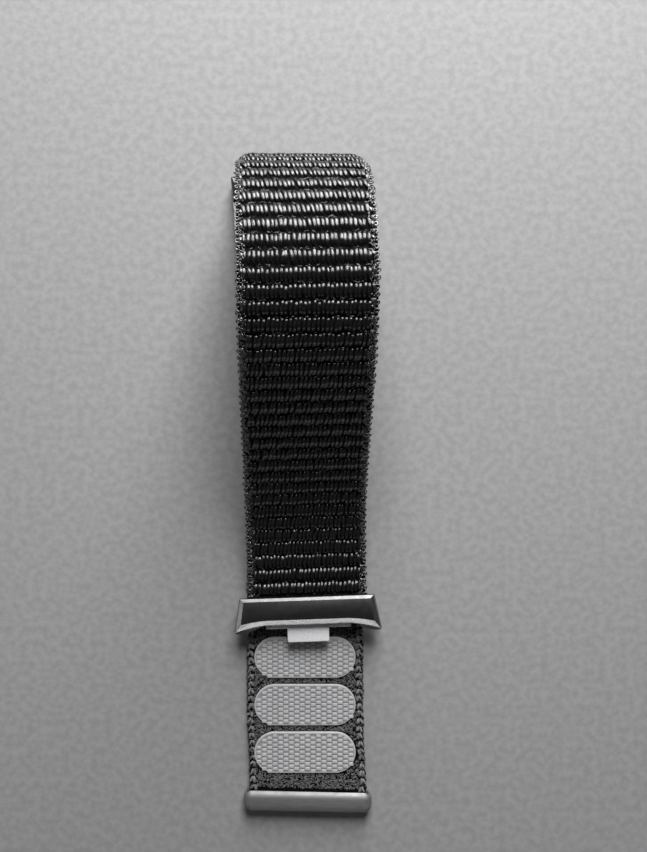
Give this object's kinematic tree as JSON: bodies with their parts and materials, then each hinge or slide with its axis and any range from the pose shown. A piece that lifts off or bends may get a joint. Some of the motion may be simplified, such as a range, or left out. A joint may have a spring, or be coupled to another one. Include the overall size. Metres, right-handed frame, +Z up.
{
  "type": "nylon watch strap",
  "caption": "Woven nylon watch strap lying as an open loop, with hook pads on its tail, a metal end bar, a fixed quick-release connector and a sliding one.",
  "frame": {"origin": "on the underside of the strap's flat tail, on its centre line", "axes": "+Z up from the table, +Y along the strap from the end bar to the far bend, +X across the strap"},
  "size_m": [0.023, 0.0985, 0.0269],
  "materials": {
    "nylon": "woven black nylon, ribbed outer face and brushed inner face",
    "hook": "light grey moulded hook tape",
    "dark_metal": "dark satin coated metal with polished bevels",
    "bar_metal": "dark grey satin metal",
    "tab_metal": "light grey matte blasted metal",
    "steel": "bright spring steel"
  },
  "bodies": {
    "band": {"woven_strap": "nylon", "hook_pad_1": "hook", "hook_pad_2": "hook", "hook_pad_3": "hook", "tail_bar": "bar_metal"},
    "fixed_connector": {"fixed_connector_shell": "dark_metal", "strap_pin": "steel", "fixed_tongue_plate": "steel", "fixed_latch_pin": "steel", "fixed_latch_spring": "steel", "fixed_rivet_left": "steel", "fixed_rivet_right": "steel"},
    "fixed_release": {"fixed_release_tab": "tab_metal"},
    "sliding_connector": {"sliding_connector_shell": "dark_metal", "slot_bar": "dark_metal", "sliding_tongue_plate": "steel", "sliding_latch_pin": "steel", "sliding_latch_spring": "steel", "sliding_rivet_left": "steel", "sliding_rivet_right": "steel"},
    "sliding_release": {"sliding_release_tab": "tab_metal"}
  },
  "joints": [
    {"name": "fixed_connector_swivel", "type": "hinge", "parent": "band", "child": "fixed_connector", "pos_m": [0.0004, -0.02675, 0.0032], "axis": [-0.9994, -0.0349, 0], "range_deg": [0, 30]},
    {"name": "fixed_tab_press", "type": "hinge", "parent": "fixed_connector", "child": "fixed_release", "pos_m": [0.00048, -0.02902, 0.0034], "axis": [-0.9994, -0.0349, 0], "range_deg": [0, 10], "stiffness_Nm_per_rad": 0.01, "springref_deg": -2.86, "deforming": ["fixed_latch_spring"]},
    {"name": "sliding_connector_swivel", "type": "hinge", "parent": "band", "child": "sliding_connector", "pos_m": [-0.00075, 0.03, 0.00245], "axis": [0.9976, -0.0698, 0], "range_deg": [0, 14]},
    {"name": "sliding_tab_press", "type": "hinge", "parent": "sliding_connector", "child": "sliding_release", "pos_m": [-0.00038, 0.03528, 0.00186], "axis": [0.9976, -0.0698, 0], "range_deg": [0, 10], "stiffness_Nm_per_rad": 0.01, "springref_deg": -2.86, "deforming": ["sliding_latch_spring"]}
  ]
}
